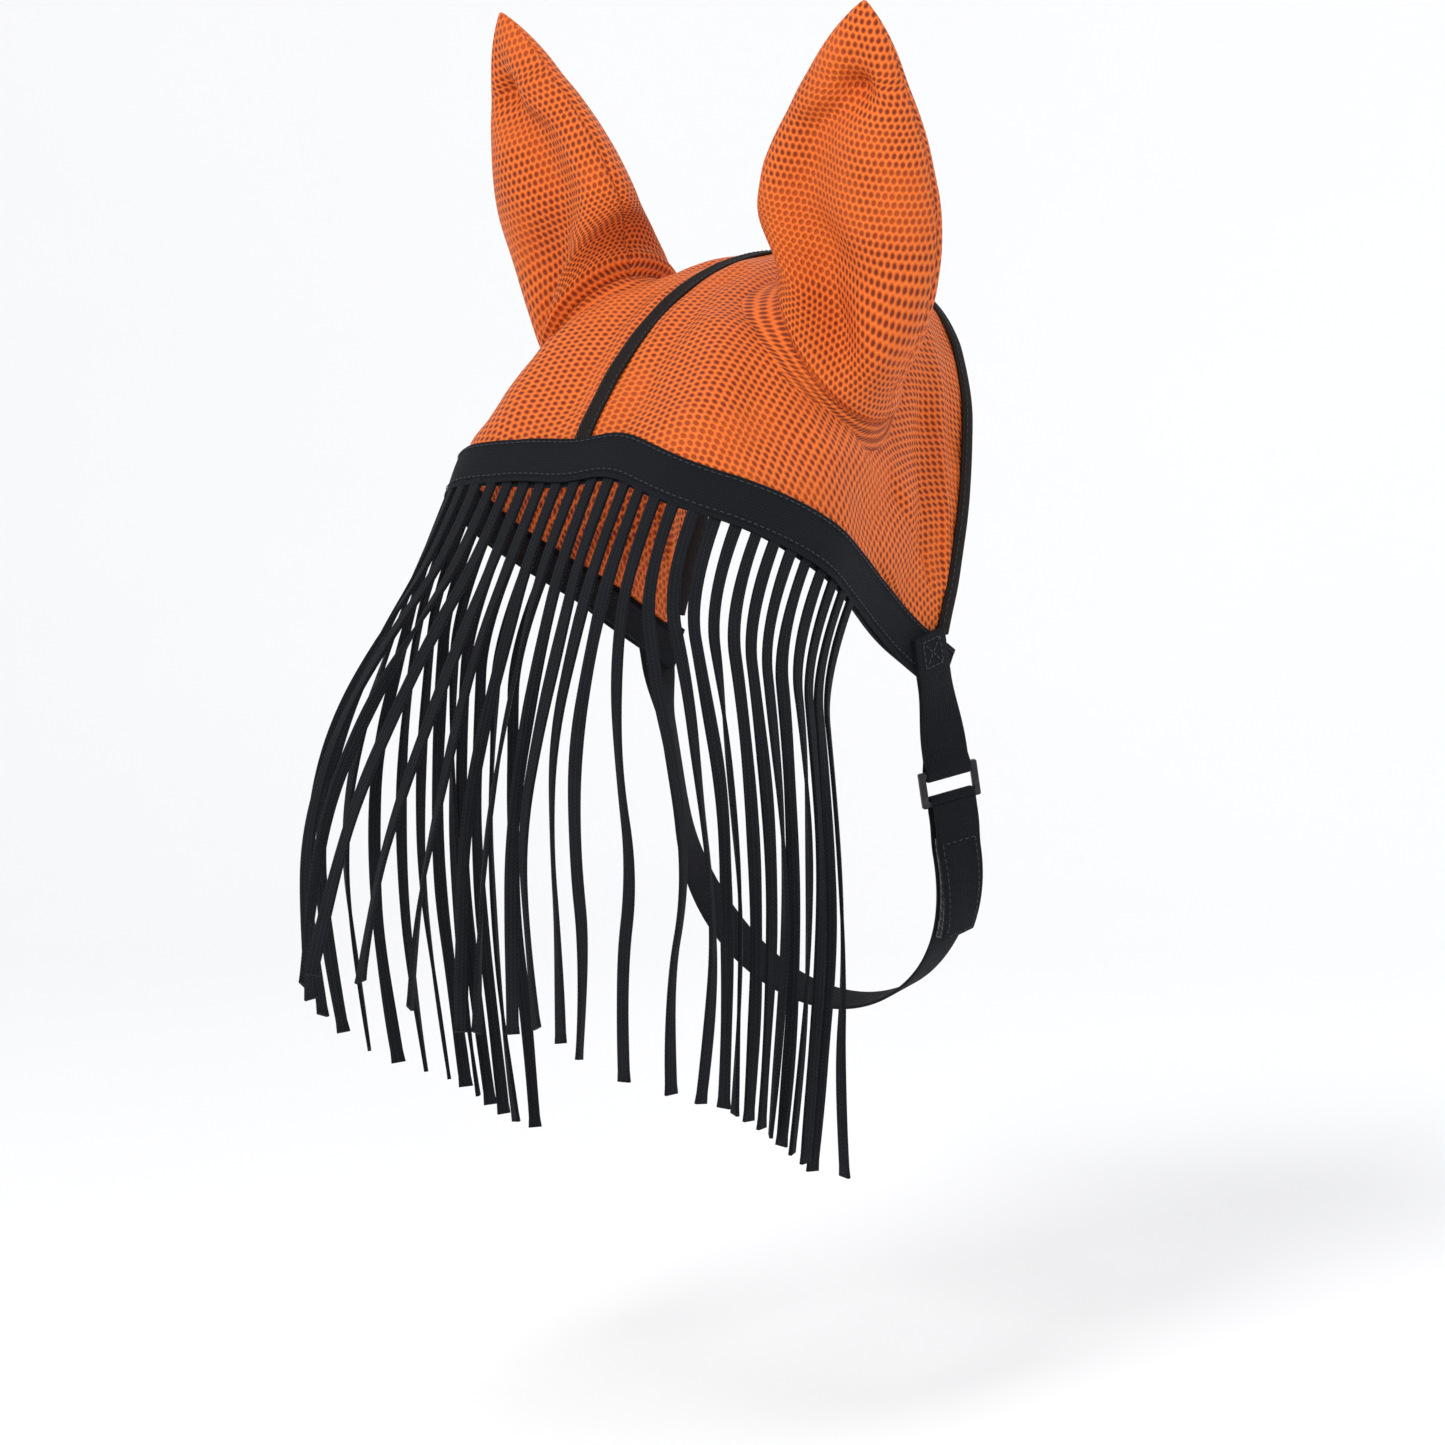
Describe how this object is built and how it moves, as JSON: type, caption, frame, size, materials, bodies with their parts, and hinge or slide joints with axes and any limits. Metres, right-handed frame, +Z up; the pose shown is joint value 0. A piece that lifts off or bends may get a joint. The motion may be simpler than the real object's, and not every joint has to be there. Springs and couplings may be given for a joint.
{
  "type": "fly mask",
  "caption": "Mesh bonnet for a horse with sewn ear covers, a hanging lace fringe over the eyes and a throat strap closed with hook and loop tape.",
  "frame": {"origin": "point of the lining that rests on the poll, on the middle line of the head between the ears", "axes": "+Z up, the horse faces -Y, and its left side is +X"},
  "size_m": [0.2928, 0.442, 0.5913],
  "materials": {
    "spacer_mesh": "matte",
    "webbing": "matte",
    "braided_lace": "matte",
    "seam_tape": "matte",
    "ring_plastic": "semi-gloss",
    "hook_tape": "matte",
    "loop_tape": "matte",
    "thread": "matte"
  },
  "bodies": {
    "bonnet": {"bonnet_panel_left": "spacer_mesh", "bonnet_panel_right": "spacer_mesh", "centre_seam_tape": "seam_tape", "rear_binding": "webbing", "ear_left_seam_collar": "spacer_mesh", "ear_right_seam_collar": "spacer_mesh", "brow_band": "webbing", "lace_header_tape": "webbing"},
    "ear_left": {"ear_left_front": "spacer_mesh", "ear_left_back": "spacer_mesh"},
    "ear_right": {"ear_right_front": "spacer_mesh", "ear_right_back": "spacer_mesh"},
    "fringe_front": {"lace_left_01": "braided_lace", "lace_left_02": "braided_lace", "lace_left_03": "braided_lace", "lace_left_04": "braided_lace", "lace_left_05": "braided_lace", "lace_left_06": "braided_lace", "lace_left_07": "braided_lace", "lace_right_01": "braided_lace", "lace_right_02": "braided_lace", "lace_right_03": "braided_lace", "lace_right_04": "braided_lace", "lace_right_05": "braided_lace", "lace_right_06": "braided_lace", "lace_right_07": "braided_lace"},
    "fringe_left_temple": {"lace_left_08": "braided_lace", "lace_left_09": "braided_lace", "lace_left_10": "braided_lace", "lace_left_11": "braided_lace"},
    "fringe_right_temple": {"lace_right_08": "braided_lace", "lace_right_09": "braided_lace", "lace_right_10": "braided_lace", "lace_right_11": "braided_lace"},
    "fringe_left_cheek": {"lace_left_12": "braided_lace", "lace_left_13": "braided_lace", "lace_left_14": "braided_lace", "lace_left_15": "braided_lace", "lace_left_16": "braided_lace", "lace_left_17": "braided_lace", "lace_left_18": "braided_lace"},
    "fringe_right_cheek": {"lace_right_12": "braided_lace", "lace_right_13": "braided_lace", "lace_right_14": "braided_lace", "lace_right_15": "braided_lace", "lace_right_16": "braided_lace", "lace_right_17": "braided_lace", "lace_right_18": "braided_lace"},
    "throat_loop": {"hanger_left": "webbing", "strap_ring": "ring_plastic", "throat_strap": "webbing", "loop_patch": "loop_tape", "stitching_left": "thread", "stitching_right": "thread"},
    "strap_tail": {"strap_tail": "webbing", "hook_patch": "hook_tape"}
  },
  "joints": [
    {"name": "ear_left_turn", "type": "hinge", "parent": "bonnet", "child": "ear_left", "pos_m": [0.07701, -0.0084, -0.04149], "axis": [0.8381, 0.148, 0.5251], "range_deg": [-20, 20], "stiffness_Nm_per_rad": 0.25},
    {"name": "ear_right_turn", "type": "hinge", "parent": "bonnet", "child": "ear_right", "pos_m": [-0.07701, -0.0084, -0.04149], "axis": [0.8381, -0.148, -0.5251], "range_deg": [-20, 20], "stiffness_Nm_per_rad": 0.25},
    {"name": "fringe_front_swing", "type": "hinge", "parent": "bonnet", "child": "fringe_front", "pos_m": [0, -0.13187, -0.11066], "axis": [-1, 0, 0], "range_deg": [0, 30]},
    {"name": "fringe_left_temple_swing", "type": "hinge", "parent": "bonnet", "child": "fringe_left_temple", "pos_m": [0.09411, -0.1129, -0.12207], "axis": [-0.577, -0.6999, 0.421], "range_deg": [0, 28]},
    {"name": "fringe_right_temple_swing", "type": "hinge", "parent": "bonnet", "child": "fringe_right_temple", "pos_m": [-0.09411, -0.1129, -0.12207], "axis": [-0.577, 0.6999, -0.421], "range_deg": [0, 28]},
    {"name": "fringe_left_cheek_swing", "type": "hinge", "parent": "bonnet", "child": "fringe_left_cheek", "pos_m": [0.11044, -0.06259, -0.15229], "axis": [-0.04, -0.8562, 0.5151], "range_deg": [0, 25]},
    {"name": "fringe_right_cheek_swing", "type": "hinge", "parent": "bonnet", "child": "fringe_right_cheek", "pos_m": [-0.11044, -0.06259, -0.15229], "axis": [-0.04, 0.8562, -0.5151], "range_deg": [0, 25]},
    {"name": "throat_strap_swing", "type": "hinge", "parent": "bonnet", "child": "throat_loop", "pos_m": [0, 0.04283, -0.19768], "axis": [1, 0, 0], "range_deg": [0, 20]},
    {"name": "strap_tail_peel", "type": "hinge", "parent": "throat_loop", "child": "strap_tail", "pos_m": [0.09998, 0.05914, -0.27592], "axis": [-0.423, -0.8829, -0.204], "range_deg": [0, 110]}
  ]
}
